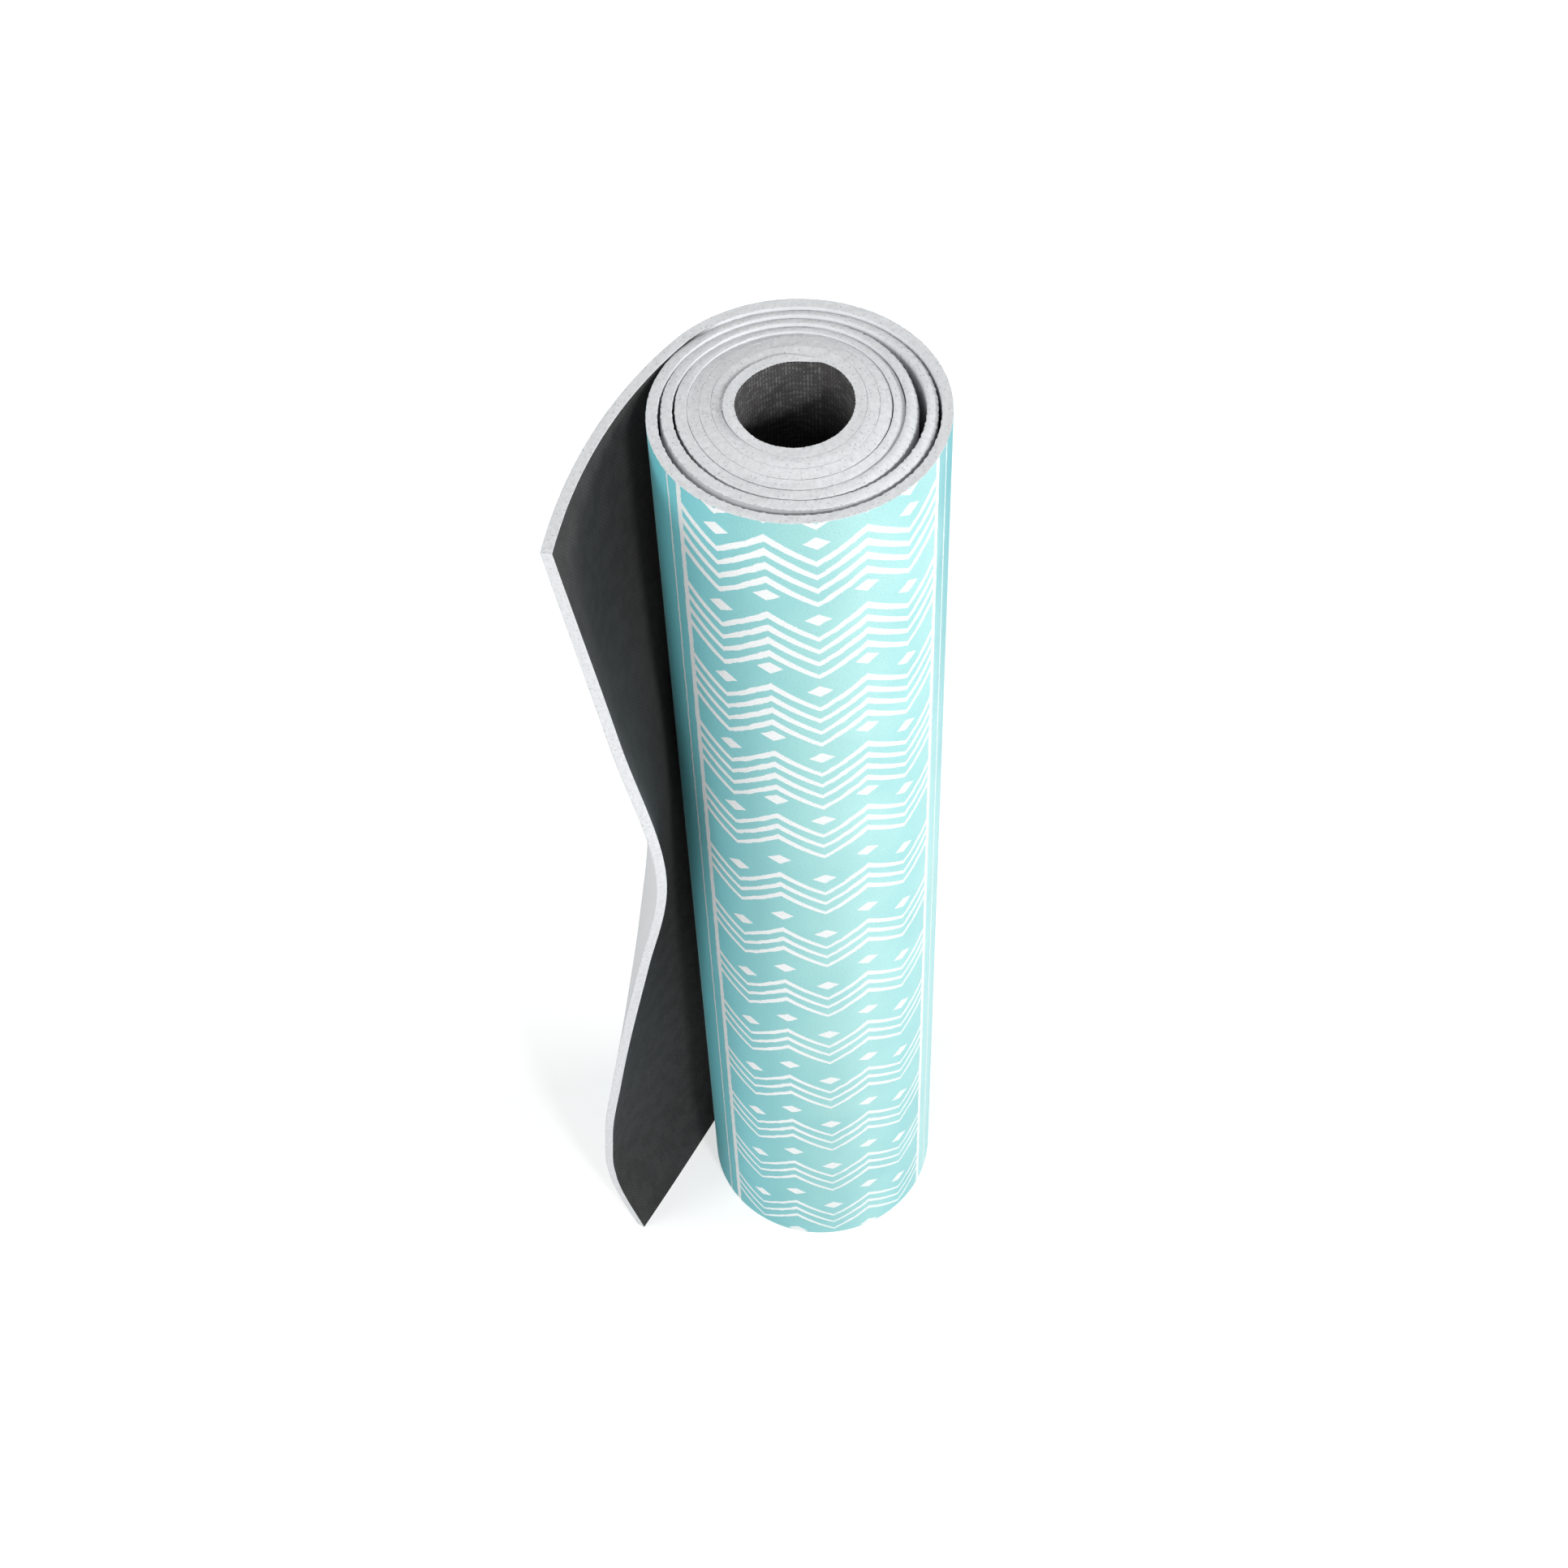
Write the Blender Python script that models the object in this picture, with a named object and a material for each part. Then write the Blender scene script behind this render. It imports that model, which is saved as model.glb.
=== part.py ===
"""A yoga mat, rolled up and standing on end, with its free end hanging open.

The mat is one long sheet of three layers: a printed surface film on the outside of
the roll, a foam core and a dark grip base on the inside. It is wound loosely for a
little over seven turns, and the last stretch of it stands away from the roll.
Each layer is laid out flat as a grid and then carried onto the rolled shape.
"""

import math

import bmesh
import bpy
import numpy as np

# The mat, in metres
MAT_WIDTH = 0.610
FILM_THICKNESS = 0.0005
BASE_THICKNESS = 0.0005
MAT_THICKNESS = 0.0045
LAYER_GAP = 0.0003

# The winding, counted in turns from the line where the free end leaves it
TURNS = 7.2
SEGMENTS_PER_TURN = 35
ROLL_RADIUS = 0.0661
TURN_GAP = 0.0005
ROOT_ANGLE = 138.0
TELESCOPED_FROM_TURN = 4.2
TELESCOPE_PER_TURN = 0.001

# Gaps that open where the winding has sprung loose: the turns at which each one
# opens, is widest and closes, and how wide it gets in metres
LOOSE_GAPS = {
    "under the outer turn": (0.10, 0.75, 1.00, 0.0027),
    "right of the second turn": (1.14, 1.37, 1.66, 0.0035),
    "front of the second turn": (1.45, 1.82, 2.02, 0.0009),
    "front of the third turn": (2.35, 2.60, 2.92, 0.0003),
    "right of the fourth turn": (3.20, 3.42, 3.70, 0.0004),
    "front of the sixth turn": (5.22, 5.55, 5.80, 0.0005),
    "behind the inner end": (5.80, 5.98, 6.19, 0.0022),
}

# The free end: its length along the sheet at the floor and at the top, and its
# sections from the floor up. Each has its height as a share of the mat's width, the
# length that still follows the roll, and how far it leans out and curls in after it.
FREE_LENGTH_AT_FLOOR = 0.1137
FREE_LENGTH_AT_TOP = 0.1285
FREE_END_SECTIONS = (
    # height share, hugging length, lean in degrees, curl in degrees
    (0.00, 0.0121, 2.2, -3.4),
    (0.07, 0.0013, -11.5, 24.3),
    (0.16, 0.0048, -15.4, 24.9),
    (0.28, 0.0048, -4.7, 29.1),
    (0.40, 0.0030, 19.4, 19.3),
    (0.50, 0.0045, 40.2, 3.8),
    (0.62, 0.0136, 41.6, 3.4),
    (0.80, 0.0030, 33.7, 18.6),
    (1.00, 0.0010, 38.9, -7.4),
)
FREE_END_COLUMNS = 13
FREE_END_ROWS = 15
ROOT_GAP = 0.0006

# Depths of the three layers below the printed side, and their thicknesses
CORE_DEPTH = FILM_THICKNESS + LAYER_GAP
BASE_DEPTH = MAT_THICKNESS - BASE_THICKNESS
CORE_THICKNESS = BASE_DEPTH - LAYER_GAP - CORE_DEPTH
LAYERS = (
    # name, depth, thickness, colour, roughness
    ("printed_surface", 0.0, FILM_THICKNESS, (0.19, 0.55, 0.57), 0.62),
    ("foam_core", CORE_DEPTH, CORE_THICKNESS, (0.66, 0.67, 0.68), 0.85),
    ("grip_base", BASE_DEPTH, BASE_THICKNESS, (0.028, 0.028, 0.028), 0.75),
)

TURN_PITCH = MAT_THICKNESS + TURN_GAP

# Edges that turn more than this are cut edges, and stay sharp
EDGE_ANGLE = 40.0


def rise(value, start, end):
    """0 before the start, 1 after the end, and a smooth rise between them."""
    share = min(max((value - start) / (end - start), 0.0), 1.0)
    return math.sin(share * math.pi / 2) ** 2


def loose_gap(turn):
    """How far the winding has sprung open behind this place on the sheet."""
    total = 0.0
    for opens, widest, closes, width in LOOSE_GAPS.values():
        total += width * rise(turn, opens, widest) * (1 - rise(turn, widest, closes))
    return total


def roll_radius(turn):
    """Radius of the printed side, this many turns in from the free end's root."""
    if turn <= 1:
        return ROLL_RADIUS - TURN_PITCH * turn
    return roll_radius(turn - 1) - TURN_PITCH - loose_gap(turn - 1)


def telescope(turn):
    """How far the turns near the middle have slid up the roll's axis."""
    return TELESCOPE_PER_TURN * max(0.0, turn - TELESCOPED_FROM_TURN)


def wound_point(length_share, width_share, depth):
    """A point of the wound sheet: 0 is its inner end, and 1 the free end's root."""
    turn = TURNS * (1 - length_share)
    angle = math.radians(ROOT_ANGLE - 360 * turn)
    radius = roll_radius(turn) - depth
    height = MAT_WIDTH * width_share + telescope(turn)
    return (radius * math.cos(angle), radius * math.sin(angle), height)


def smooth_value(share, column):
    """One column of the free end's sections, joined by a smooth curve."""
    heights = np.array([row[0] for row in FREE_END_SECTIONS])
    values = np.array([row[column] for row in FREE_END_SECTIONS])
    slopes = np.gradient(values, heights)
    i = min(int(np.searchsorted(heights, share, side="right")) - 1, len(heights) - 2)
    step = heights[i + 1] - heights[i]
    t = (share - heights[i]) / step
    start = (2 * t**3 - 3 * t**2 + 1) * values[i] + (t**3 - 2 * t**2 + t) * step * slopes[i]
    end = (3 * t**2 - 2 * t**3) * values[i + 1] + (t**3 - t**2) * step * slopes[i + 1]
    return start + end


def free_end_row(width_share, columns):
    """The grip side's points and directions along the free end, at one height."""
    hug = max(smooth_value(width_share, 1), 0.001)
    lean = smooth_value(width_share, 2)
    curl = smooth_value(width_share, 3)
    length = FREE_LENGTH_AT_FLOOR + (FREE_LENGTH_AT_TOP - FREE_LENGTH_AT_FLOOR) * width_share
    inner_radius = ROLL_RADIUS - MAT_THICKNESS
    root = math.radians(ROOT_ANGLE)
    x = inner_radius * math.cos(root) - ROOT_GAP * math.sin(root)
    y = inner_radius * math.sin(root) + ROOT_GAP * math.cos(root)
    row = []
    steps = columns * 4
    before = None
    for step in range(steps + 1):
        run = length * step / steps
        past = min(max((run - hug) / (length - hug), 0.0), 1.0)
        follow = math.degrees(min(run, hug) / inner_radius)
        heading = math.radians(ROOT_ANGLE + 90 + follow + lean * past + curl * past**2)
        if before is not None:
            middle = (heading + before) / 2
            x += math.cos(middle) * length / steps
            y += math.sin(middle) * length / steps
        before = heading
        row.append((x, y, heading))
    return row[::4]


FREE_END = [
    free_end_row(row / FREE_END_ROWS, FREE_END_COLUMNS) for row in range(FREE_END_ROWS + 1)
]


def free_end_point(length_share, width_share, depth):
    """A point of the free end: 0 is its root on the roll, and 1 the mat's end."""
    row = FREE_END[round(width_share * FREE_END_ROWS)]
    x, y, heading = row[round(length_share * FREE_END_COLUMNS)]
    out = MAT_THICKNESS - depth
    height = MAT_WIDTH * width_share
    return (x + out * math.sin(heading), y - out * math.cos(heading), height)


def hinge_point():
    """The line about which the free end swings, on the printed side at its root."""
    root = math.radians(ROOT_ANGLE)
    x = ROLL_RADIUS * math.cos(root) - ROOT_GAP / 2 * math.sin(root)
    y = ROLL_RADIUS * math.sin(root) + ROOT_GAP / 2 * math.cos(root)
    return (x, y)


def footprint_middle():
    """The middle of the space that the mat takes up on the floor."""
    columns = round(TURNS * SEGMENTS_PER_TURN)
    points = [wound_point(i / columns, 0, 0) for i in range(columns + 1)]
    for row in range(FREE_END_ROWS + 1):
        for column in range(FREE_END_COLUMNS + 1):
            for depth in (0, MAT_THICKNESS):
                place = (column / FREE_END_COLUMNS, row / FREE_END_ROWS, depth)
                points.append(free_end_point(*place))
    low = np.min(points, axis=0)
    high = np.max(points, axis=0)
    return ((low[0] + high[0]) / 2, (low[1] + high[1]) / 2)


def clear_scene():
    for item in list(bpy.data.objects):
        bpy.data.objects.remove(item, do_unlink=True)


def new_collection(name):
    collection = bpy.data.collections.new(name)
    bpy.context.scene.collection.children.link(collection)
    return collection


def new_pivot(name, x, y):
    """An empty that layers are parented to, on the roll's axis or on the hinge line."""
    pivot = bpy.data.objects.new(name, None)
    pivot.empty_display_size = MAT_WIDTH / 10
    pivot.location = (x, y, 0)
    parts.objects.link(pivot)
    return pivot


def new_material(name, colour, roughness):
    mat = bpy.data.materials.new(name)
    mat.use_nodes = True
    shader = mat.node_tree.nodes["Principled BSDF"]
    shader.inputs["Base Color"].default_value = (*colour, 1.0)
    shader.inputs["Roughness"].default_value = roughness
    shader.inputs["Metallic"].default_value = 0.0
    return mat


def sheet_layer(name, pivot, place, columns, rows, depth, thickness, finish):
    """One layer of the mat: a flat slab, carried onto the mat's rolled shape.

    Along the slab's X the sheet runs outwards round the roll, its Y is the mat's
    width, and its Z is 0 on the side nearer to the print.
    """
    slab = bmesh.new()
    bmesh.ops.create_grid(slab, x_segments=columns, y_segments=rows, size=0.5)
    under = bmesh.ops.extrude_face_region(slab, geom=slab.faces[:])
    for item in under["geom"]:
        if isinstance(item, bmesh.types.BMVert):
            item.co.z -= thickness
    for vertex in slab.verts:
        x, y, height = place(vertex.co.x + 0.5, vertex.co.y + 0.5, depth - vertex.co.z)
        vertex.co = (x - pivot.location.x, y - pivot.location.y, height)
    bmesh.ops.recalc_face_normals(slab, faces=slab.faces)
    mesh = bpy.data.meshes.new(name)
    slab.to_mesh(mesh)
    slab.free()
    mesh.materials.append(finish)
    mesh.shade_smooth()
    mesh.set_sharp_from_angle(angle=math.radians(EDGE_ANGLE))
    layer = bpy.data.objects.new(name, mesh)
    layer.parent = pivot
    parts.objects.link(layer)
    return layer


def least_turn_gap(columns):
    """The least clear space between a turn and the next, over all their points."""
    turns = [TURNS * i / columns for i in range(columns + 1)]
    gaps = [
        roll_radius(turn) - MAT_THICKNESS - roll_radius(turn + 1)
        for turn in turns
        if turn + 1 <= TURNS
    ]
    return min(gaps)


clear_scene()
parts = new_collection("rolled_yoga_mat")
winding_columns = round(TURNS * SEGMENTS_PER_TURN)
middle_x, middle_y = footprint_middle()
hinge_x, hinge_y = hinge_point()
roll_axis = new_pivot("roll_axis", 0, 0)
free_end_hinge = new_pivot("free_end_hinge", hinge_x, hinge_y)

for layer_name, depth, thickness, colour, roughness in LAYERS:
    finish = new_material(layer_name, colour, roughness)
    sheet_layer(
        "roll_" + layer_name, roll_axis, wound_point,
        winding_columns, 1, depth, thickness, finish,
    )
    sheet_layer(
        "free_end_" + layer_name, free_end_hinge, free_end_point,
        FREE_END_COLUMNS, FREE_END_ROWS, depth, thickness, finish,
    )

# The origin is at the middle of the footprint, on the floor
for pivot in (roll_axis, free_end_hinge):
    pivot.location.x -= middle_x
    pivot.location.y -= middle_y

print(f"Least gap between turns: {1000 * least_turn_gap(winding_columns):.2f} mm")
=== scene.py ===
import math

import bpy
import numpy as np
from mathutils import Matrix, Vector


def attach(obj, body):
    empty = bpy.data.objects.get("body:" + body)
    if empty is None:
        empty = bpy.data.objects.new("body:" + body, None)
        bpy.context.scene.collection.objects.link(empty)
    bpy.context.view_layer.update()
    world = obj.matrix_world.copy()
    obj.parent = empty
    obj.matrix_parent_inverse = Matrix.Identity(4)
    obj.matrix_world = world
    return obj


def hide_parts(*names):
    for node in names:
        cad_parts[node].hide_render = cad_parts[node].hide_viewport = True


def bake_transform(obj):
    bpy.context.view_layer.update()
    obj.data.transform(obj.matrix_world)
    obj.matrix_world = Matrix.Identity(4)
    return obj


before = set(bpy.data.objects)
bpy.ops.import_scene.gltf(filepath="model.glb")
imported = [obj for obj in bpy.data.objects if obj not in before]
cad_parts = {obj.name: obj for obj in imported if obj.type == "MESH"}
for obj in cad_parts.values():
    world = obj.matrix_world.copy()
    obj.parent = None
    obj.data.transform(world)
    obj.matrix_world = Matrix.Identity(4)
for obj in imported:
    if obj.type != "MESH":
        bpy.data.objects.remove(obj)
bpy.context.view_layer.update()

# The mat and its winding, in metres and degrees, as in the part's source. Turns are
# counted inwards from the root, the line where the free end leaves the roll.
WIDTH = 0.610
TURNS = 7.2
ROLL_RADIUS = 0.0661
TURN_PITCH = 0.0050
ROOT_ANGLE = 138.0
ROOT = math.radians(ROOT_ANGLE)
TELESCOPED_FROM_TURN = 4.2
TELESCOPE_PER_TURN = 0.001
LOOSE_GAPS = (
    # turns at which a gap opens, is widest and closes, and its greatest width
    (0.10, 0.75, 1.00, 0.0027),
    (1.14, 1.37, 1.66, 0.0035),
    (1.45, 1.82, 2.02, 0.0009),
    (2.35, 2.60, 2.92, 0.0003),
    (3.20, 3.42, 3.70, 0.0004),
    (5.22, 5.55, 5.80, 0.0005),
    (5.80, 5.98, 6.19, 0.0022),
)
FREE_LENGTH_AT_FLOOR = 0.1137
FREE_LENGTH_AT_TOP = 0.1285
FREE_END_SECTIONS = np.array((
    # height share, hugging length, lean in degrees, curl in degrees
    (0.00, 0.0121, 2.2, -3.4),
    (0.07, 0.0013, -11.5, 24.3),
    (0.16, 0.0048, -15.4, 24.9),
    (0.28, 0.0048, -4.7, 29.1),
    (0.40, 0.0030, 19.4, 19.3),
    (0.50, 0.0045, 40.2, 3.8),
    (0.62, 0.0136, 41.6, 3.4),
    (0.80, 0.0030, 33.7, 18.6),
    (1.00, 0.0010, 38.9, -7.4),
))
SHORTEST_HUG = 0.001
SOLID_THICKNESS = 0.0045
ROLL_AXIS = (0.028637, 0.006138)

# The sheet as it is seen: the film and the grip base are thin skins that sink a little
# into the foam, and the turns lie a hairline apart
HAIRLINE = 0.00007
THICKNESS = TURN_PITCH - HAIRLINE
SKIN = 0.00006
FOAM_DEPTH = SKIN * 0.7

# Radii of the foam's edges: at the mat's end, at its inner end, by the film, by the grip
CUT_ROUND = 0.00035
TIP_ROUND = 0.00012
FILM_EDGE_ROUND = 0.00015
GRIP_EDGE_ROUND = 0.00025
GRIP_INSET = GRIP_EDGE_ROUND * 0.8

# The seams between the turns. The third gap is seen to open later than in the solids, and
# foam fills the gaps past the fifth turn. The outer turns lie loosest all round.
SEAM_GAPS = LOOSE_GAPS[:2] + ((1.62, 1.82, 2.02, 0.0009),) + LOOSE_GAPS[3:]
SPRUNG_UP_TO = 5
OUTER_SEAM = 0.00026
OUTER_SEAM_CLOSES = (1.9, 2.6)
SEAM_RIPPLE = 0.8

# What is done to the top edge alone fades out over this depth below it
EDGE_DEPTH = 0.004

# Below their top edge two turns lean out into the gap beside them
FLARES = (
    # turns at which it starts, is greatest and ends, and by how much
    (1.45, 1.72, 2.00, 0.0018),
    (2.15, 2.38, 2.62, 0.0006),
)

# The rounding of the edges, which is less deep than this, is pressed flat where the turns
# lie tight: further in, and at the back. A side of the roll is given by the turn that
# faces it, and by the level and swing of a wave round the roll.
ROUNDED_DEPTH = 0.002
TIGHT_FROM = (3.0, 4.2)
TIGHT_RIPPLE = 0.12
BACK_TIGHT = 0.8
BACK_SIDE = (0.12, -0.2, 1.6)

# The cut edge sags on the printed side of the loose turns, mostly at the back and right,
# and it slopes where the foam has crept in beside the inner end
SAG_DEPTH = 0.0021
SAG_WIDTH = 0.0042
SAG_TURNS = (0.85, 1.05, 3.40, 5.00)
SAG_SIDE = (0.26, 0.62, 0.75)
CREPT_SLOPE = 0.5
CREPT_TURNS = (5.70, 5.85, 6.10, 6.19)

# The cut edge is uneven: a slow wander, and short teeth where it stands free
WANDER_UP = 0.00013
NICK = 0.00010
TOOTH_SIZE = 0.00036
OPEN_GAP = 0.001
OUTER_TEETH = 0.3
OUTER_TEETH_START = (0, 0.05)
BORE_TEETH = 0.6
SLOW_WAVES = (
    # wave length, share
    (0.0471, 0.30),
    (0.0193, 0.25),
    (0.0083, 0.25),
    (0.0041, 0.20),
)
SHORT_WAVES = (
    (0.0062, 0.30),
    (0.0039, 0.35),
    (0.0027, 0.35),
)
WAVE_SHIFT = 2.399
WAVE_SLANT = 900
TOOTH_SLANT = 0.003

# Metres of these waves that are run through in one turn
SEAM_PACE = 0.25
TIGHT_PACE = 0.12
NICK_PACE = 0.75
TOOTH_PACE = 0.40

# The bore's edge in the photograph, from beside the inner end round to the end itself.
# The last turn goes over to it between two places, is pushed up there, and is pressed
# thin towards its end.
BORE = np.array((
    # turn, radius
    (6.20, 0.0269),
    (6.23, 0.0268),
    (6.30, 0.0256),
    (6.40, 0.0238),
    (6.56, 0.0232),
    (6.68, 0.0237),
    (6.92, 0.0251),
    (7.00, 0.0243),
    (7.09, 0.0241),
    (7.18, 0.0259),
    (7.20, 0.0269),
))
BORE_JOIN = (6.70, 6.86)
THIN_FROM = 7.09
BORE_TEETH_TURNS = (TURNS - 1, TURNS - 0.9, THIN_FROM, 7.15)
TIP_THICKNESS = 0.0026
TIP_OVERLAP = 0.0006
TIP_STEP = 0.00005
TIP_STEP_TURNS = 0.1
INNER_LIFT = 0.0015
INNER_LIFT_TURNS = (6.72, 6.86, THIN_FROM, TURNS)

# How finely the sheet is divided. The hanging piece starts at the back of the roll.
STATIONS_PER_TURN = 420
CUT_TURN = 38 / 360
CUT_STEPS = 16
CUT_TURNS = np.linspace(CUT_TURN, 0, CUT_STEPS + 1)
WOUND_ROWS = 3
FREE_COLUMNS = 56
FREE_ROWS = 96
FINE_STEPS = 336
ARC_STEPS = 4
FLAT_STEPS = 6
SHARP_ANGLE = 60

# Close stations: by a rounded end, in metres from it, and by the place that the inner end
# lies on, in turns from there
BY_END = np.array([0, 0.00008, 0.0002, 0.0004, 0.0008])
BY_TIP = np.array([0.0022, 0.0014, 0.0009, 0.0005, -0.0005])


def smooth_rise(value, start, end):
    """0 before the start, 1 after the end, and a smooth rise between them."""
    share = np.clip((value - start) / (end - start), 0, 1)
    return np.sin(share * np.pi / 2) ** 2


def window(value, opens, opened, closes, closed):
    """A smooth rise from 0 to 1 and, later on, a smooth fall back to 0."""
    return smooth_rise(value, opens, opened) * (1 - smooth_rise(value, closes, closed))


def facing(turn, middle, level, swing):
    """A share from 0 to 1 that is greatest on one side of the roll, once in each turn."""
    return np.clip(level + swing * np.cos(2 * np.pi * (turn - middle)), 0, 1)


def ripple(along, across, waves=SLOW_WAVES):
    """A small smooth unevenness, from -1 to 1, along the sheet."""
    total = 0.0
    for k, (length, share) in enumerate(waves):
        total = total + share * np.sin(2 * np.pi * along / length + WAVE_SHIFT * k + across * WAVE_SLANT)
    return total


def table_value(table, place, column):
    """One column of a table, joined by a smooth curve."""
    places = table[:, 0]
    values = table[:, column]
    slopes = np.gradient(values, places)
    i = np.clip(np.searchsorted(places, place, side="right") - 1, 0, len(places) - 2)
    step = places[i + 1] - places[i]
    t = (place - places[i]) / step
    start = (2 * t**3 - 3 * t**2 + 1) * values[i] + (t**3 - 2 * t**2 + t) * step * slopes[i]
    end = (3 * t**2 - 2 * t**3) * values[i + 1] + (t**3 - t**2) * step * slopes[i + 1]
    return start + end


def loose_gap(turn, gaps=LOOSE_GAPS):
    """How far the winding has sprung open behind this place on the sheet."""
    total = np.zeros_like(turn)
    for opens, widest, closes, width in gaps:
        total += width * window(turn, opens, widest, widest, closes)
    return total


def roll_radius(turn):
    """Radius of the printed side in the solids."""
    radius = ROLL_RADIUS - TURN_PITCH * turn
    for back in range(1, int(TURNS) + 1):
        radius = radius - np.where(turn > back, loose_gap(turn - back), 0)
    return radius


def bore_radius(turn):
    """Radius of the bore's edge."""
    return table_value(BORE, np.clip(turn, BORE[0, 0], TURNS), 1)


def at_back(turn):
    """1 at the back of the roll, where the turns press together, and 0 round the front."""
    return facing(turn, *BACK_SIDE)


def printed_side(turn):
    """Radius of the printed side: the inner end lies along the bore's edge."""
    thick = THICKNESS + (TIP_THICKNESS - THICKNESS) * smooth_rise(turn, THIN_FROM, TURNS)
    led = smooth_rise(turn, *BORE_JOIN)
    return roll_radius(turn) * (1 - led) + (bore_radius(turn) + thick) * led


def seam(turn):
    """The clear space between a turn and the next one in: the outer turns lie loosest."""
    loose = OUTER_SEAM * (1 - smooth_rise(turn, *OUTER_SEAM_CLOSES)) * (1 - at_back(turn))
    sprung = np.where(turn < SPRUNG_UP_TO, loose_gap(turn, SEAM_GAPS), 0)
    return HAIRLINE * (1 + SEAM_RIPPLE * ripple(turn * SEAM_PACE, 0)) + loose + sprung


def grip_side(turn):
    """Radius of the grip side: a seam away from the next turn in, or round the bore."""
    inside = printed_side(np.minimum(turn + 1, TURNS)) + seam(turn)
    return np.where(turn < TURNS - 1, inside, bore_radius(turn))


def lift(turn, share):
    """How far the turns near the middle stand up, at a share of the mat's thickness: each
    slopes up to the next one in, and the innermost one is pushed out further."""
    most = TURNS - 1 - TELESCOPED_FROM_TURN
    slid = TELESCOPE_PER_TURN * np.clip(turn - TELESCOPED_FROM_TURN + share, 0, most)
    step = TIP_STEP * smooth_rise(turn, TURNS - TIP_STEP_TURNS, TURNS)
    return slid + step + INNER_LIFT * window(turn, *INNER_LIFT_TURNS)


def sag(turn, depth):
    """How far the cut edge lies below its height."""
    loose = window(turn, *SAG_TURNS) * facing(turn, *SAG_SIDE)
    outer = SAG_DEPTH * loose * np.clip(1 - depth / SAG_WIDTH, 0, 1) ** 2
    return outer + CREPT_SLOPE * window(turn, *CREPT_TURNS) * np.maximum(0, depth - THICKNESS)


def pressed(turn):
    """How flat the rounding of the edges is pressed, from 0 to 1."""
    tight = 1 - TIGHT_RIPPLE + TIGHT_RIPPLE * ripple(turn * TIGHT_PACE, 0)
    return np.maximum(smooth_rise(turn, *TIGHT_FROM) * tight, BACK_TIGHT * at_back(turn))


def teeth(turns, share):
    """Short teeth of the cut edge, at a share of the mat's thickness, beside open gaps."""
    outer_turn = OUTER_TEETH * smooth_rise(turns, *OUTER_TEETH_START)
    outside = np.where(turns < 1, outer_turn, loose_gap(turns - 1, SEAM_GAPS) / OPEN_GAP)
    bore = BORE_TEETH * window(turns, *BORE_TEETH_TURNS)
    inside = np.where(turns < TURNS - 1, loose_gap(turns, SEAM_GAPS) / OPEN_GAP, bore)
    outside, inside = (np.clip(side, 0, 1)[:, None] for side in (outside, inside))
    free = outside * (1 - share) + inside * share
    return TOOTH_SIZE * free * ripple(turns[:, None] * TOOTH_PACE, share * TOOTH_SLANT, SHORT_WAVES)


def near_top(heights):
    """1 at the top edge, and 0 from EDGE_DEPTH below it."""
    return np.clip((heights - (WIDTH - EDGE_DEPTH)) / EDGE_DEPTH, 0, 1)


def wound_points(turns, heights, depths):
    """Points of the wound sheet: a row for each place along it, a column round its section."""
    angle = np.radians(ROOT_ANGLE - 360 * turns)[:, None]
    depths = depths * ((printed_side(turns) - grip_side(turns)) / THICKNESS)[:, None]
    share = np.clip(depths / THICKNESS, 0, 1)
    top = near_top(heights)
    nicks = NICK * ripple(turns * NICK_PACE, 0.5)[:, None] + teeth(turns, share)
    flare = loose_gap(turns, FLARES)[:, None] * (1 - top)
    radius = printed_side(turns)[:, None] - depths + nicks * top + flare
    closed = np.where(heights > WIDTH - ROUNDED_DEPTH, WIDTH - heights, 0) * pressed(turns)[:, None]
    z = heights + closed + lift(turns[:, None], share) - top * sag(turns[:, None], depths)
    return np.stack([radius * np.cos(angle), radius * np.sin(angle), z], 2)


def free_length(share):
    """Length of the free end at a share of the mat's width, from the floor up."""
    return FREE_LENGTH_AT_FLOOR + (FREE_LENGTH_AT_TOP - FREE_LENGTH_AT_FLOOR) * share


def free_points(shares, heights, depths):
    """Points of the free end, from its root at share 0 to the mat's end at 1."""
    share_up = np.clip(heights / WIDTH, 0, 1)
    hug, lean, curl = (table_value(FREE_END_SECTIONS, share_up, k)[:, None] for k in (1, 2, 3))
    hug = np.maximum(hug, SHORTEST_HUG)
    length = free_length(share_up)[:, None]
    inner = ROLL_RADIUS - SOLID_THICKNESS
    fine = np.linspace(0, 1, FINE_STEPS + 1)
    run = fine[None] * length
    past = np.clip((run - hug) / (length - hug), 0, 1)
    follow = np.degrees(np.minimum(run, hug) / inner)
    heading = np.radians(ROOT_ANGLE + 90 + follow + lean * past + curl * past**2)
    middle = (heading[:, 1:] + heading[:, :-1]) / 2
    step = np.diff(run, axis=1)
    start = np.zeros((len(heights), 1))
    x = inner * math.cos(ROOT) + np.concatenate([start, np.cumsum(np.cos(middle) * step, 1)], 1)
    y = inner * math.sin(ROOT) + np.concatenate([start, np.cumsum(np.sin(middle) * step, 1)], 1)
    out = []
    for k in range(len(heights)):
        turned = np.interp(shares, fine, heading[k])
        reach = SOLID_THICKNESS - depths[:, k]
        px = np.interp(shares, fine, x[k]) + reach * np.sin(turned)
        py = np.interp(shares, fine, y[k]) - reach * np.cos(turned)
        out.append(np.stack([px, py, np.full(len(shares), heights[k])], 1))
    return np.stack(out, 1)


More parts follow.
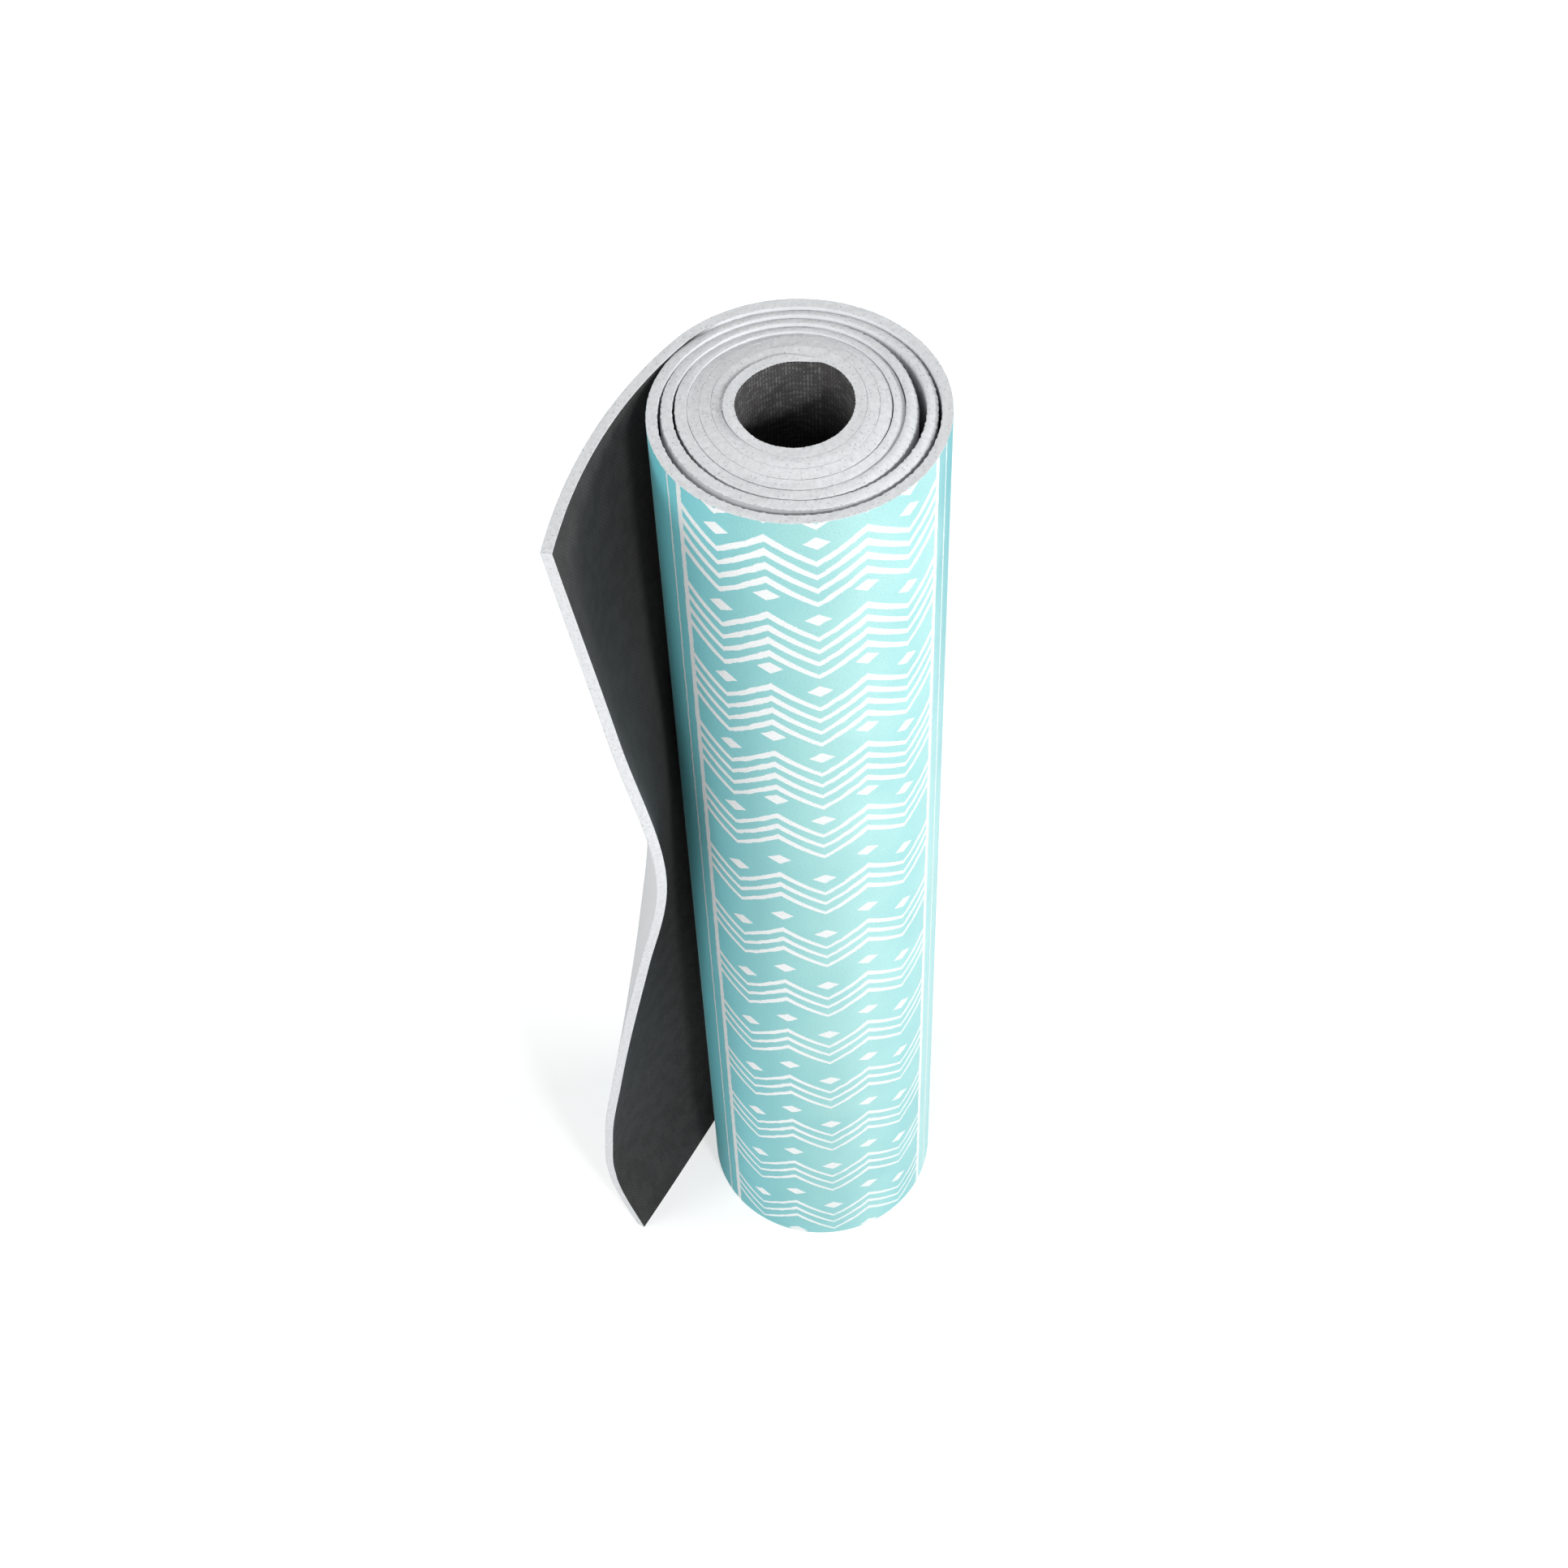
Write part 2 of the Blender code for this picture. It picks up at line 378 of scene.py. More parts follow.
def section_loop(top_depth, under_depth, inset, rounds, rows):
    """A closed section of a layer: its heights and depths, from the floor up and back down,
    with the count of points on each rim. The edges are rounded where rounds gives radii."""
    outer, inner = rounds or (0, 0)
    walls = [
        np.append(np.linspace(inset + size, WIDTH - EDGE_DEPTH, rows - 1), WIDTH - inset - size)
        for size in (outer, inner)]
    rim_height, rim_depth = np.zeros(0), np.zeros(0)
    if rounds:
        arc = np.linspace(0, np.pi / 2, ARC_STEPS + 1)[1:]
        back = arc[::-1]
        flat = np.linspace(top_depth + outer, under_depth - inner, FLAT_STEPS + 1)[1:-1]
        rim_height = np.concatenate([
            outer * (1 - np.sin(arc)), np.zeros(len(flat)), inner * (1 - np.sin(back))])
        rim_depth = np.concatenate([
            top_depth + outer * (1 - np.cos(arc)), flat, under_depth - inner * (1 - np.cos(back))])
    top, floor = WIDTH - inset - rim_height, (inset + rim_height)[::-1]
    heights = np.concatenate([walls[0], top, walls[1][::-1], floor])
    depths = np.concatenate([
        np.full(rows, top_depth), rim_depth, np.full(rows, under_depth), rim_depth[::-1]])
    return heights, depths, len(rim_height)


def end_caps(base, rows, rim):
    """Faces that close the sheet's end whose first point has this number."""
    outer = [base + i for i in range(rows)]
    under = [base + rows + rim + rows - 1 - i for i in range(rows)]
    strip = [(outer[i], outer[i + 1], under[i + 1], under[i]) for i in range(rows - 1)]
    if rim:
        first = base + 2 * rows + rim
        strip.append(tuple([outer[-1]] + [base + rows + i for i in range(rim)] + [under[-1]]))
        strip.append(tuple([under[0]] + [first + i for i in range(rim)] + [outer[0]]))
    return strip


def layer_mesh(name, points, runs, heights, depths, rows, rim):
    """A mesh swept along the sheet, with its UVs in metres along and across the sheet."""
    stations, around = points.shape[:2]
    a = np.arange(stations - 1)[:, None] * around
    j = np.arange(around)[None]
    k = (j + 1) % around
    quads = np.stack([a + j, a + around + j, a + around + k, a + k], 2).reshape(-1, 4)[:, ::-1]
    faces = [tuple(int(i) for i in quad) for quad in quads]
    swept = 4 * len(faces)
    faces += end_caps(0, rows, rim)
    faces += [tuple(reversed(face)) for face in end_caps((stations - 1) * around, rows, rim)]
    mesh = bpy.data.meshes.new(name)
    mesh.from_pydata(points.reshape(-1, 3).tolist(), [], faces)

    travel = np.concatenate([[0], np.cumsum(np.hypot(np.diff(heights), np.diff(depths)))])
    across = heights if rim == 0 else travel
    index = np.zeros(len(mesh.loops), int)
    mesh.loops.foreach_get("vertex_index", index)
    station, place = index // around, index % around
    coords = np.stack([runs[station, place], across[place]], 1)
    if rim:
        # The strip that closes the section ends at the full way round it, not at 0
        closing = np.repeat((quads % around == around - 1).any(1), 4)
        wrap = np.zeros(len(index), bool)
        wrap[:swept] = (place[:swept] == 0) & closing
        coords[wrap, 1] = travel[-1] + np.hypot(heights[-1] - heights[0], depths[-1] - depths[0])
    coords[swept:, 0] += depths[place[swept:]]
    coords[swept:, 1] = heights[place[swept:]]
    uv = mesh.uv_layers.new(name="sheet")
    uv.data.foreach_set("uv", coords.astype(np.float32).ravel())
    mesh.update()
    piece = bpy.data.objects.new(name, mesh)
    piece.location = (*ROLL_AXIS, 0)
    bpy.context.scene.collection.objects.link(piece)
    mesh.shade_smooth()
    mesh.set_sharp_from_angle(angle=math.radians(SHARP_ANGLE))
    return piece


def drawn_in(depths, from_end, roundness):
    """Depths of the section, drawn in to its middle close to a cut end that is rounded."""
    near = np.clip(roundness - from_end, 0, None)
    drawn = roundness - np.sqrt(roundness**2 - near**2)
    half = THICKNESS / 2
    return half + (depths - half) * (1 - drawn / half)


def uneven(points, heights, depths, runs):
    """The cut edge of the foam stands a little up and down, as a knife leaves it."""
    points[:, :, 2] += WANDER_UP * near_top(heights) * ripple(runs, depths)
    return points


def run_along(turns):
    """Length of the sheet from the last of these places back to each of them."""
    radius = (roll_radius(turns[1:]) + roll_radius(turns[:-1])) / 2
    step = np.abs(np.diff(turns)) * 2 * np.pi * radius
    return np.concatenate([np.cumsum(step[::-1])[::-1], [0]])


def wound_piece(name, top_depth, under_depth, inset, rounds):
    """A layer from the mat's inner end out to the back of the roll."""
    heights, depths, rim = section_loop(top_depth, under_depth, inset, rounds, WOUND_ROWS)
    to_tip = BY_END * TIP_ROUND / CUT_ROUND
    tip = TURNS + TIP_OVERLAP - to_tip / (2 * np.pi * roll_radius(np.array([TURNS])))
    count = round((TURNS - CUT_TURN) * STATIONS_PER_TURN)
    turns = np.linspace(TURNS, CUT_TURN, count + 1)[1:]
    turns = np.unique(np.concatenate([turns, TURNS - 1 + BY_TIP, tip]))[::-1]
    run = (run_along(turns) + run_along(CUT_TURNS)[0])[:, None]
    runs = np.broadcast_to(run, (len(turns), len(depths)))
    section = np.broadcast_to(depths, runs.shape)
    if rounds:
        section = drawn_in(depths, run[0] - run, TIP_ROUND)
    points = wound_points(turns, heights, section)
    if rounds:
        points = uneven(points, heights, depths, runs)
    return layer_mesh("roll_" + name, points, runs, heights, depths, WOUND_ROWS, rim)


def hanging_piece(name, top_depth, under_depth, inset, rounds):
    """A layer from the back of the roll out to the mat's end. At its root the free end is
    as thin as the seam makes the roll's sheet."""
    heights, depths, rim = section_loop(top_depth, under_depth, inset, rounds, FREE_ROWS)
    length = free_length(np.clip(heights / WIDTH, 0, 1))
    shares = np.linspace(0, 1, FREE_COLUMNS + 1)[:-1]
    shares = np.concatenate([shares, 1 - (BY_END[::-1] + inset) / length.mean()])
    on_roll = np.broadcast_to(run_along(CUT_TURNS)[:-1, None], (CUT_STEPS, len(heights)))
    runs = np.concatenate([on_roll, -shares[:, None] * length])
    section = drawn_in(depths, runs + length, CUT_ROUND if rounds else 0)
    thinned = 1 - float(seam(np.zeros(1))[0] - HAIRLINE) / THICKNESS
    points = np.concatenate([
        wound_points(CUT_TURNS[:-1], heights, section[:CUT_STEPS]),
        free_points(shares, heights, section[CUT_STEPS:] * thinned)])
    if rounds:
        points = uneven(points, heights, depths, runs)
    return layer_mesh("end_" + name, points, runs, heights, depths, FREE_ROWS, rim)


def measure_margin(piece):
    """Lay a second UV map that says how far each point is from the mat's end."""
    coords = np.zeros(len(piece.data.loops) * 2, np.float32)
    piece.data.uv_layers["sheet"].data.foreach_get("uv", coords)
    coords = coords.reshape(-1, 2)
    coords[:, 0] += free_length(np.clip(coords[:, 1] / WIDTH, 0, 1))
    piece.data.uv_layers.new(name="margin").data.foreach_set("uv", coords.ravel())


def film_layer():
    """The printed film: a skin on the outside that stops short of the rounded edges."""
    layer = ("printed_film", 0.0, SKIN, FILM_EDGE_ROUND, None)
    pieces = (wound_piece(*layer), hanging_piece(*layer))
    for piece in pieces:
        measure_margin(piece)
    return pieces


def foam_layer():
    """The foam, nearly the whole of the mat's thickness, with rounded cut edges."""
    rounds = (FILM_EDGE_ROUND, GRIP_EDGE_ROUND)
    layer = ("foam", FOAM_DEPTH, THICKNESS - FOAM_DEPTH, 0.0, rounds)
    return wound_piece(*layer), hanging_piece(*layer)


def grip_layer():
    """The grip base: a skin on the inside that stops short of the rounded edges."""
    layer = ("grip", THICKNESS - SKIN, THICKNESS, GRIP_INSET, None)
    return wound_piece(*layer), hanging_piece(*layer)


def linear(hex_colour):
    """An sRGB hex colour as linear RGBA."""
    values = [int(hex_colour[i:i + 2], 16) / 255 for i in (1, 3, 5)]
    return tuple(v / 12.92 if v <= 0.04045 else ((v + 0.055) / 1.055) ** 2.4 for v in values) + (1,)


# Kinds of node that come up often. RANGE is used as a smooth rise: its inputs are the
# value, where it gives 0 and where it gives 1, and the second place may be the lower one.
MATH = "ShaderNodeMath"
MIX = "ShaderNodeMix"
NOISE = "ShaderNodeTexNoise"
RANGE = "ShaderNodeMapRange"


def add(tree, kind, inputs=(), output=0, **settings):
    """Add a node with its settings, and its inputs as links or values, and return one output."""
    node = tree.nodes.new(kind)
    for name, value in settings.items():
        setattr(node, name, value)
    for place, value in inputs.items() if isinstance(inputs, dict) else enumerate(inputs):
        if isinstance(value, bpy.types.NodeSocket):
            tree.links.new(value, node.inputs[place])
        else:
            node.inputs[place].default_value = value
    return node.outputs[output]


def new_material(name, values):
    """A new material, its node tree and its shader, which is given these values."""
    material = bpy.data.materials.new(name)
    material.use_nodes = True
    shader = material.node_tree.nodes["Principled BSDF"]
    for socket, value in values.items():
        shader.inputs[socket].default_value = value
    return material, material.node_tree, shader


# The print, in metres: bands of zigzag lines between ruled lines, right round the roll
BAND_START = 0.1870
BAND_WIDTH = 0.1270
BAND_PERIOD = 0.1880
PRINTED_LENGTH = 0.398
BARE_MARGIN = 0.0340
MARGIN_EDGE = 0.0003
RULES = (
    # place across the band, half width
    (0.0015, 0.00145),
    (BAND_WIDTH - 0.0015, 0.00145),
    (BAND_WIDTH + 0.0065, 0.00055),
    (BAND_PERIOD - 0.0080, 0.00055),
)
TOOTH = BAND_WIDTH / 3
TOOTH_HEIGHT = 0.0150
GROUP_PITCH = 0.0470
ZIGZAGS = (
    # place in the group, half width, first group from the floor up that has it
    (0.0050, 0.0014, -1),
    (0.0132, 0.0014, -1),
    (0.0214, 0.0014, -1),
    (0.0435, 0.0014, 8),
)
DIAMOND_AT = 0.0338
DIAMOND = (0.0058, 0.0036)

# The lines' boldness at the floor, what it gains in a metre up, and at their peaks
BOLDNESS = 0.6
BOLDER_UP = 0.8
BOLDER_AT_PEAK = 0.5

# The ink's edges wander and fray, and are a little soft: how far, and how long the waves
# are. These pattern sizes and those below were judged against the photograph, and the
# real sizes that comments give are estimates, not measured.
WANDER = 0.0005
WANDER_SIZE = 0.00588
FRAY = 0.0004
FRAY_SIZE = 0.0006667
INK_EDGE = 0.00015

GROUND = (
    # share of the period, colour
    (0.00, "#b5e3e3"),
    (0.10, "#acdfde"),
    (0.24, "#b4e4e2"),
    (0.38, "#a3d9d7"),
    (0.51, "#8dcacc"),
    (0.66, "#83d2d9"),
    (0.78, "#78d8e2"),
    (0.92, "#b9e4e4"),
)

# Where painted shade makes the ground deeper, as places that have none of it and all of it, and by how much:
# low down in the bands, high up in the strip between them, and up the strip at the right, which is painted
# paler low down
LOW_HEIGHTS = (0.30, 0.0)
LOW_SHARES = (0.90, 0.80)
LOW_PAINTED_SHADE = 0.25
HIGH_HEIGHTS = (0.36, 0.60)
HIGH_SHARES = (0.86, 0.92)
HIGH_PAINTED_SHADE = 0.55
RIGHT_STRIP = (0.19, 0.17)
RIGHT_PAINTED_SHADE = -0.53
RIGHT_PAINTED_SHADE_UP = 1.6
CLOUD_SIZE = 0.03846
CLOUD_SHADE = 0.5
LEAST_SHADE = -0.16

# The film's own grain is taken to be about 0.3 mm, too fine to show, and drawn three
# times coarser
FILM_GRAIN = 0.000909


def stroke(tree, value, centre, half, fray):
    """A drawn line: 1 up to half its width from the centre, with frayed edges."""
    off = add(tree, MATH, (value, centre), operation="SUBTRACT")
    off = add(tree, MATH, (off,), operation="ABSOLUTE")
    off = add(tree, MATH, (off, fray), operation="ADD")
    off = add(tree, MATH, (off, half), operation="SUBTRACT")
    return add(tree, RANGE, (off, INK_EDGE, -INK_EDGE), interpolation_type="SMOOTHSTEP")


def repeated(tree, value, length):
    """The value counted from 0 again after each such length."""
    share = add(tree, MATH, (value, 1 / length), operation="MULTIPLY")
    share = add(tree, MATH, (share,), operation="FRACT")
    return add(tree, MATH, (share, length), operation="MULTIPLY")


def ruled_lines(tree, x, fray):
    """Upright lines along both sides of each band and in the strip between two bands."""
    lines = 0.0
    for centre, half in RULES:
        line = stroke(tree, x, centre, half, fray)
        lines = add(tree, MATH, (lines, line), operation="MAXIMUM")
    return lines


def zigzag_lines(tree, wave, up, fray):
    """Groups of three zigzag lines one above the other, and of four in the upper groups."""
    climbed = add(tree, MATH, (wave, -TOOTH_HEIGHT, up), operation="MULTIPLY_ADD")
    place = repeated(tree, climbed, GROUP_PITCH)
    bolder = add(tree, MATH, (up, BOLDER_UP, BOLDNESS), operation="MULTIPLY_ADD")
    bolder = add(tree, MATH, (wave, BOLDER_AT_PEAK, bolder), operation="MULTIPLY_ADD")
    lines = 0.0
    for centre, half, first_group in ZIGZAGS:
        half = add(tree, MATH, (bolder, half), operation="MULTIPLY")
        line = stroke(tree, place, centre, half, fray)
        shown = add(tree, MATH, (climbed, first_group * GROUP_PITCH), operation="GREATER_THAN")
        line = add(tree, MATH, (line, shown), operation="MULTIPLY")
        lines = add(tree, MATH, (lines, line), operation="MAXIMUM")
    return lines


def diamonds(tree, wave, x, up):
    """Small lozenges above the peaks and dips of the zigzags, except at the band's sides."""
    level = add(tree, MATH, (wave,), operation="ROUND")
    level = add(tree, MATH, (level, -TOOTH_HEIGHT, up), operation="MULTIPLY_ADD")
    rise = repeated(tree, level, GROUP_PITCH)
    rise = add(tree, MATH, (rise, DIAMOND_AT), operation="SUBTRACT")
    rise = add(tree, MATH, (rise,), operation="ABSOLUTE")
    side = add(tree, MATH, (x, 2 / TOOTH, 0.5), operation="MULTIPLY_ADD")
    side = add(tree, MATH, (side,), operation="FRACT")
    side = add(tree, MATH, (side, 0.5), operation="SUBTRACT")
    side = add(tree, MATH, (side,), operation="ABSOLUTE")
    side = add(tree, MATH, (side, TOOTH / 2 / DIAMOND[0]), operation="MULTIPLY")
    reach = add(tree, MATH, (rise, 1 / DIAMOND[1], side), operation="MULTIPLY_ADD")
    shape = add(tree, RANGE, (reach, 1.05, 0.95), interpolation_type="SMOOTHSTEP")
    off_middle = add(tree, MATH, (x, BAND_WIDTH / 2), operation="SUBTRACT")
    off_middle = add(tree, MATH, (off_middle,), operation="ABSOLUTE")
    clear = add(tree, MATH, (off_middle, BAND_WIDTH / 2 - TOOTH / 4), operation="LESS_THAN")
    return add(tree, MATH, (shape, clear), operation="MULTIPLY")


def line_work(tree, x, up, fray):
    """All that is drawn in white: 1 on a line or a lozenge, and 0 beside them."""
    wave = add(tree, MATH, (x, 1 / TOOTH), operation="MULTIPLY")
    wave = add(tree, MATH, (wave,), operation="FRACT")
    wave = add(tree, MATH, (wave, 0.5), operation="SUBTRACT")
    wave = add(tree, MATH, (wave,), operation="ABSOLUTE")
    wave = add(tree, MATH, (wave, 2.0), operation="MULTIPLY")
    drawn = zigzag_lines(tree, wave, up, fray)
    drawn = add(tree, MATH, (drawn, diamonds(tree, wave, x, up)), operation="MAXIMUM")
    inside = add(tree, MATH, (x, BAND_WIDTH), operation="LESS_THAN")
    drawn = add(tree, MATH, (drawn, inside), operation="MULTIPLY")
    return add(tree, MATH, (ruled_lines(tree, x, fray), drawn), operation="MAXIMUM")


def painted_ground_shade(tree, where, run, height, share):
    """How deep the ground is at each place: painted shade by height and place, with soft clouds in it."""
    # Painted shade low down in the bands and high up in the strip between them
    low = add(tree, RANGE, (height, *LOW_HEIGHTS), interpolation_type="SMOOTHSTEP")
    in_band = add(tree, RANGE, (share, *LOW_SHARES), interpolation_type="SMOOTHSTEP")
    low = add(tree, MATH, (low, in_band), operation="MULTIPLY")
    high = add(tree, RANGE, (height, *HIGH_HEIGHTS), interpolation_type="SMOOTHSTEP")
    in_strip = add(tree, RANGE, (share, *HIGH_SHARES), interpolation_type="SMOOTHSTEP")
    high = add(tree, MATH, (high, in_strip), operation="MULTIPLY")
    shade = add(tree, MATH, (high, HIGH_PAINTED_SHADE, LEAST_SHADE), operation="MULTIPLY_ADD")
    shade = add(tree, MATH, (low, LOW_PAINTED_SHADE, shade), operation="MULTIPLY_ADD")
    # Up the strip at the right the painted shade deepens with height, and low down it is painted paler
    # instead
    right_strip = add(tree, RANGE, (run, *RIGHT_STRIP), interpolation_type="SMOOTHSTEP")
    tilt = add(tree, MATH, (height, RIGHT_PAINTED_SHADE_UP, RIGHT_PAINTED_SHADE), operation="MULTIPLY_ADD")
    shade = add(tree, MATH, (right_strip, tilt, shade), operation="MULTIPLY_ADD")
    cloud = add(tree, NOISE, {"Vector": where, "Scale": 1 / CLOUD_SIZE, "Detail": 3.0}, noise_dimensions="2D")
    return add(tree, MATH, (cloud, CLOUD_SHADE, shade), operation="MULTIPLY_ADD")


def ground_colour(tree, where, run, height, share):
    """Aqua that drifts between paler and deeper across a band, as a dye would, with painted shade and soft
    clouds over it.
    """
    aqua = add(tree, "ShaderNodeValToRGB", (share,))
    colours = aqua.node.color_ramp.elements
    for place, colour in GROUND[1:-1]:
        colours.new(place).color = linear(colour)
    colours[0].color = linear(GROUND[0][1])
    colours[-1].position = GROUND[-1][0]
    colours[-1].color = linear(GROUND[-1][1])
    shade = painted_ground_shade(tree, where, run, height, share)
    return add(tree, MIX, {0: shade, 6: aqua, 7: linear("#7cbfc6")}, 2, data_type="RGBA")


def bare_film(tree, run, grain, fray):
    """Where the film has no print, and its colour: by the mat's end it is pale, and on the turns inside,
    which the gaps show, a plain darker grey, which is partly painted shade for the gaps."""
    margin = add(tree, "ShaderNodeUVMap", uv_map="margin")
    to_end = add(tree, "ShaderNodeSeparateXYZ", (margin,))
    to_end = add(tree, MATH, (to_end, fray), operation="ADD")
    edge = (BARE_MARGIN + MARGIN_EDGE, BARE_MARGIN - MARGIN_EDGE)
    bare = add(tree, RANGE, (to_end, *edge), interpolation_type="SMOOTHSTEP")
    wound_in = add(tree, MATH, (run, PRINTED_LENGTH), operation="GREATER_THAN")
    bare = add(tree, MATH, (bare, wound_in), operation="MAXIMUM")
    film = add(tree, MIX, {0: grain, 6: linear("#d2d4d6"), 7: linear("#e4e6e8")}, 2, data_type="RGBA")
    # The turns inside get a darker grey, partly painted shade for the gaps they are seen in
    film = add(tree, MIX, {0: wound_in, 6: film, 7: linear("#b2b4b6")}, 2, data_type="RGBA")
    return bare, film


def printed_film():
    """A thin plastic film, printed in aqua and white: it gives the eye a satin, finely
    grained face with crisp line work, and a bare grey margin at the mat's end."""
    material, tree, shader = new_material("printed aqua film", {"Specular IOR Level": 0.3})
    where = add(tree, "ShaderNodeUVMap", uv_map="sheet")
    run, height = add(tree, "ShaderNodeSeparateXYZ", (where,)).node.outputs[:2]
    wander = add(tree, NOISE, {"Vector": where, "Scale": 1 / WANDER_SIZE}, noise_dimensions="2D")
    wander = add(tree, MATH, (wander, 2 * WANDER, -WANDER), operation="MULTIPLY_ADD")
    fray = add(tree, NOISE, {"Vector": where, "Scale": 1 / FRAY_SIZE, "Detail": 1.0}, noise_dimensions="2D")
    fray = add(tree, MATH, (fray, 2 * FRAY, -FRAY), operation="MULTIPLY_ADD")
    grain = add(
        tree, NOISE, {"Vector": where, "Scale": 1 / FILM_GRAIN, "Detail": 3.0, "Roughness": 0.7},
        noise_dimensions="2D")

    along = add(tree, MATH, (run, wander), operation="ADD")
    up = add(tree, MATH, (height, wander), operation="ADD")
    share = add(tree, MATH, (along, 1 / BAND_PERIOD, -BAND_START / BAND_PERIOD), operation="MULTIPLY_ADD")
    share = add(tree, MATH, (share,), operation="FRACT")
    x = add(tree, MATH, (share, BAND_PERIOD), operation="MULTIPLY")

    ground = ground_colour(tree, where, run, height, share)
    white = line_work(tree, x, up, fray)
    white = add(tree, MATH, (white, 0.97), operation="MULTIPLY")
    inked = add(tree, MIX, {0: white, 6: ground, 7: linear("#f1f3f3")}, 2, data_type="RGBA")
    speck = add(tree, RANGE, (grain, 0.46, 0.34), interpolation_type="SMOOTHSTEP")
    speck = add(tree, MATH, (speck, 0.14), operation="MULTIPLY")
    printed = add(tree, MIX, {0: speck, 6: inked, 7: linear("#2f7580")}, 2, data_type="RGBA")
    bare, film = bare_film(tree, run, grain, fray)
    colour = add(tree, MIX, {0: bare, 6: printed, 7: film}, 2, data_type="RGBA")
    roughness = add(tree, MATH, (grain, 0.25, 0.5), operation="MULTIPLY_ADD")
    bump = add(tree, "ShaderNodeBump", {"Height": grain, "Distance": 0.00015, "Strength": 0.6})
    tree.links.new(colour, shader.inputs["Base Color"])
    tree.links.new(roughness, shader.inputs["Roughness"])
    tree.links.new(bump, shader.inputs["Normal"])
    return material


# The foam's cells are taken to be about 0.2 mm, too fine to show, and drawn as a grain of
# a little over twice that, in soft patches. Larger open cells make the pits: their edge and their floor
# are given as shares of their spacing, and so is the share of places that stay without.
FOAM_GRAIN = 0.0004762
FOAM_PATCH = 0.002381
PIT_SPACING = 0.002326
PIT_SIZE = (0.17, 0.06)
WITHOUT_PIT = 0.7


def foam_pits(tree, where):
    """Small open pits in some of the places of an irregular grid: 1 in a pit."""
    cells = add(
        tree, "ShaderNodeTexVoronoi", {"Vector": where, "Scale": 1 / PIT_SPACING},
        voronoi_dimensions="2D").node
    pit = add(tree, RANGE, (cells.outputs["Distance"], *PIT_SIZE), interpolation_type="SMOOTHSTEP")
    chosen = add(tree, "ShaderNodeSeparateColor", (cells.outputs["Color"],))
    chosen = add(tree, MATH, (chosen, WITHOUT_PIT), operation="GREATER_THAN")
    return add(tree, MATH, (pit, chosen), operation="MULTIPLY")


def cut_foam():
    """Light grey closed-cell foam, cut through: it gives the eye a matt, soft face with a
    fine grain and a few small open pits."""
    values = {"Roughness": 0.9, "Specular IOR Level": 0.2}
    material, tree, shader = new_material("cut grey foam", values)
    where = add(tree, "ShaderNodeUVMap", uv_map="sheet")
    patches = add(
        tree, NOISE, {"Vector": where, "Scale": 1 / FOAM_PATCH, "Detail": 4.0, "Roughness": 0.7},
        noise_dimensions="2D")
    grain = add(
        tree, NOISE, {"Vector": where, "Scale": 1 / FOAM_GRAIN, "Detail": 3.0, "Roughness": 0.7},
        noise_dimensions="2D")
    pit = foam_pits(tree, where)

    tone = add(tree, MIX, {0: patches, 6: linear("#c9cbcd"), 7: linear("#f1f3f5")}, 2, data_type="RGBA")
    darker = add(tree, RANGE, (grain, 0.5, 0.3), interpolation_type="SMOOTHSTEP")
    darker = add(tree, MATH, (darker, 0.22), operation="MULTIPLY")
    tone = add(tree, MIX, {0: darker, 6: tone, 7: linear("#9a9da0")}, 2, data_type="RGBA")
    # The open pits are darkened with painted shade for their hollows
    shaded = add(tree, MATH, (pit, 0.45), operation="MULTIPLY")
    tone = add(tree, MIX, {0: shaded, 6: tone, 7: linear("#6a6d70")}, 2, data_type="RGBA")
    relief = add(tree, MATH, (grain, pit), operation="SUBTRACT")
    bump = add(tree, "ShaderNodeBump", {"Height": relief, "Distance": 0.0002, "Strength": 0.7})
    tree.links.new(tone, shader.inputs["Base Color"])
    tree.links.new(bump, shader.inputs["Normal"])
    return material


# The grip side's weave: real threads are taken to lie about 1 mm apart, too fine to show,
# so ribs and cross threads are drawn about twice as coarse, and so are flecks and slubs
RIB_PITCH = 0.0018
CROSS_PITCH = 0.0026
FLECK_SIZE = 0.001429
FLECK_STRETCH = (1.0, 0.16, 1.0)
SLUB_SIZE = 0.001786
SLUB_STRETCH = (0.35, 1.0, 1.0)
WORN_SIZE = 0.01111

# Where painted light on the bore's wall begins along the sheet. Where the grip side by the cut edge is
# painted
# pale, as painted light in the gaps: from just inside the root to the last turn, and how far up. Where it is
# painted paler at middle height, as painted light.
BORE_LIGHT_FROM = (1.87, 1.93)
GAP_LIGHT_FROM = (0.002, 0.022)
GAP_LIGHT_TO = 1.820
GAP_LIGHT_UP = (WIDTH - 0.0500, WIDTH - 0.0260)
MIDDLE_LIGHT_FROM = (0.22, 0.33)
MIDDLE_LIGHT_TO = (0.56, 0.44)


def rubbed_middle(tree, height):
    """How much paler the grip side is painted at middle height, as painted light."""
    above = add(tree, RANGE, (height, *MIDDLE_LIGHT_FROM), interpolation_type="SMOOTHSTEP")
    below = add(tree, RANGE, (height, *MIDDLE_LIGHT_TO), interpolation_type="SMOOTHSTEP")
    middle = add(tree, MATH, (above, below), operation="MULTIPLY")
    return add(tree, MATH, (middle, 0.16), operation="MULTIPLY")


